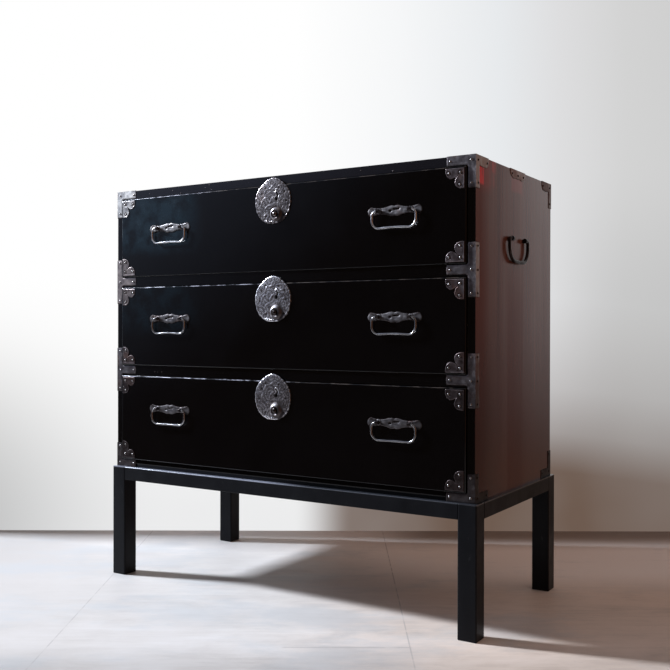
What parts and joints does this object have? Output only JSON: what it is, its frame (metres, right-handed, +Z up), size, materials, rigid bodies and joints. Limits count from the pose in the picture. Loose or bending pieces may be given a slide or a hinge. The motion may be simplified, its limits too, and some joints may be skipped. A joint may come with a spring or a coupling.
{
  "type": "tansu chest of drawers",
  "caption": "Low lacquered chest of drawers with iron corner fittings, embossed lock plates and hanging bail handles, standing on a separate four-legged stand.",
  "frame": {"origin": "centre of the bottom of the whole object's box, on the floor", "axes": "+X to the chest's right as seen from the front, +Y from the front to the back, +Z up"},
  "size_m": [0.9186, 0.435, 0.887],
  "materials": {
    "black_lacquer": "polished black lacquer",
    "red_lacquer": "translucent red-brown lacquer",
    "plain_wood": "bare planed softwood",
    "stand_black": "satin black paint",
    "fitting_iron": "dark worn iron sheet",
    "nail_iron": "domed iron nail heads",
    "lock_iron": "pewter-grey embossed iron",
    "handle_steel": "worn bright steel",
    "handle_iron": "black forged iron"
  },
  "bodies": {
    "case": {"case_top": "red_lacquer", "case_bottom": "black_lacquer", "case_side_left": "red_lacquer", "case_side_right": "red_lacquer", "case_back": "plain_wood", "case_rail_upper": "black_lacquer", "case_rail_lower": "black_lacquer", "dust_board_upper": "plain_wood", "dust_board_lower": "plain_wood", "stand_legs": "stand_black", "stand_rail_front": "stand_black", "stand_rail_rear": "stand_black", "stand_end_rails": "stand_black", "case_corner_plates": "fitting_iron", "case_nails": "nail_iron", "side_handle_posts": "handle_iron"},
    "drawer_1": {"drawer_1_front": "black_lacquer", "drawer_1_sides": "plain_wood", "drawer_1_back": "plain_wood", "drawer_1_bottom": "plain_wood", "drawer_1_corner_plates": "fitting_iron", "drawer_1_nails": "nail_iron", "drawer_1_handle_plates": "fitting_iron", "drawer_1_handle_posts": "handle_steel", "drawer_1_lock_plate": "lock_iron", "drawer_1_lock_case": "lock_iron"},
    "drawer_1_bail_left": {"drawer_1_bail_left": "handle_steel"},
    "drawer_1_bail_right": {"drawer_1_bail_right": "handle_steel"},
    "drawer_1_lock_knob": {"drawer_1_lock_knob": "lock_iron"},
    "drawer_1_lock_bolt": {"drawer_1_lock_bolt": "lock_iron"},
    "drawer_2": {"drawer_2_front": "black_lacquer", "drawer_2_sides": "plain_wood", "drawer_2_back": "plain_wood", "drawer_2_bottom": "plain_wood", "drawer_2_corner_plates": "fitting_iron", "drawer_2_nails": "nail_iron", "drawer_2_handle_plates": "fitting_iron", "drawer_2_handle_posts": "handle_steel", "drawer_2_lock_plate": "lock_iron", "drawer_2_lock_case": "lock_iron"},
    "drawer_2_bail_left": {"drawer_2_bail_left": "handle_steel"},
    "drawer_2_bail_right": {"drawer_2_bail_right": "handle_steel"},
    "drawer_2_lock_knob": {"drawer_2_lock_knob": "lock_iron"},
    "drawer_2_lock_bolt": {"drawer_2_lock_bolt": "lock_iron"},
    "drawer_3": {"drawer_3_front": "black_lacquer", "drawer_3_sides": "plain_wood", "drawer_3_back": "plain_wood", "drawer_3_bottom": "plain_wood", "drawer_3_corner_plates": "fitting_iron", "drawer_3_nails": "nail_iron", "drawer_3_handle_plates": "fitting_iron", "drawer_3_handle_posts": "handle_steel", "drawer_3_lock_plate": "lock_iron", "drawer_3_lock_case": "lock_iron"},
    "drawer_3_bail_left": {"drawer_3_bail_left": "handle_steel"},
    "drawer_3_bail_right": {"drawer_3_bail_right": "handle_steel"},
    "drawer_3_lock_knob": {"drawer_3_lock_knob": "lock_iron"},
    "drawer_3_lock_bolt": {"drawer_3_lock_bolt": "lock_iron"},
    "side_bail_left": {"side_bail_left": "handle_iron"},
    "side_bail_right": {"side_bail_right": "handle_iron"}
  },
  "joints": [
    {"name": "drawer_1_slide", "type": "slide", "parent": "case", "child": "drawer_1", "axis": [0, -1, 0], "range_m": [0, 0.3]},
    {"name": "drawer_1_bail_left_swing", "type": "hinge", "parent": "drawer_1", "child": "drawer_1_bail_left", "pos_m": [-0.285, -0.2135, 0.795], "axis": [-1, 0, 0], "range_deg": [-5, 100]},
    {"name": "drawer_1_bail_right_swing", "type": "hinge", "parent": "drawer_1", "child": "drawer_1_bail_right", "pos_m": [0.285, -0.2135, 0.795], "axis": [-1, 0, 0], "range_deg": [-5, 100]},
    {"name": "drawer_1_knob_press", "type": "slide", "parent": "drawer_1", "child": "drawer_1_lock_knob", "axis": [0, 1, 0], "range_m": [0, 0.004]},
    {"name": "drawer_1_bolt_throw", "type": "slide", "parent": "drawer_1", "child": "drawer_1_lock_bolt", "axis": [0, 0, 1], "range_m": [0, 0.008]},
    {"name": "drawer_2_slide", "type": "slide", "parent": "case", "child": "drawer_2", "axis": [0, -1, 0], "range_m": [0, 0.3]},
    {"name": "drawer_2_bail_left_swing", "type": "hinge", "parent": "drawer_2", "child": "drawer_2_bail_left", "pos_m": [-0.285, -0.2135, 0.592], "axis": [-1, 0, 0], "range_deg": [-5, 100]},
    {"name": "drawer_2_bail_right_swing", "type": "hinge", "parent": "drawer_2", "child": "drawer_2_bail_right", "pos_m": [0.285, -0.2135, 0.592], "axis": [-1, 0, 0], "range_deg": [-5, 100]},
    {"name": "drawer_2_knob_press", "type": "slide", "parent": "drawer_2", "child": "drawer_2_lock_knob", "axis": [0, 1, 0], "range_m": [0, 0.004]},
    {"name": "drawer_2_bolt_throw", "type": "slide", "parent": "drawer_2", "child": "drawer_2_lock_bolt", "axis": [0, 0, 1], "range_m": [0, 0.008]},
    {"name": "drawer_3_slide", "type": "slide", "parent": "case", "child": "drawer_3", "axis": [0, -1, 0], "range_m": [0, 0.3]},
    {"name": "drawer_3_bail_left_swing", "type": "hinge", "parent": "drawer_3", "child": "drawer_3_bail_left", "pos_m": [-0.285, -0.2135, 0.389], "axis": [-1, 0, 0], "range_deg": [-5, 100]},
    {"name": "drawer_3_bail_right_swing", "type": "hinge", "parent": "drawer_3", "child": "drawer_3_bail_right", "pos_m": [0.285, -0.2135, 0.389], "axis": [-1, 0, 0], "range_deg": [-5, 100]},
    {"name": "drawer_3_knob_press", "type": "slide", "parent": "drawer_3", "child": "drawer_3_lock_knob", "axis": [0, 1, 0], "range_m": [0, 0.004]},
    {"name": "drawer_3_bolt_throw", "type": "slide", "parent": "drawer_3", "child": "drawer_3_lock_bolt", "axis": [0, 0, 1], "range_m": [0, 0.008]},
    {"name": "side_bail_left_swing", "type": "hinge", "parent": "case", "child": "side_bail_left", "pos_m": [-0.4545, 0.0005, 0.748], "axis": [0, 1, 0], "range_deg": [-3, 100]},
    {"name": "side_bail_right_swing", "type": "hinge", "parent": "case", "child": "side_bail_right", "pos_m": [0.4545, 0.0005, 0.748], "axis": [0, -1, 0], "range_deg": [-3, 100]}
  ],
  "couplings": [
    {"joint": "drawer_1_bolt_throw", "follows": "drawer_1_knob_press", "ratio": 2},
    {"joint": "drawer_2_bolt_throw", "follows": "drawer_2_knob_press", "ratio": 2},
    {"joint": "drawer_3_bolt_throw", "follows": "drawer_3_knob_press", "ratio": 2}
  ]
}
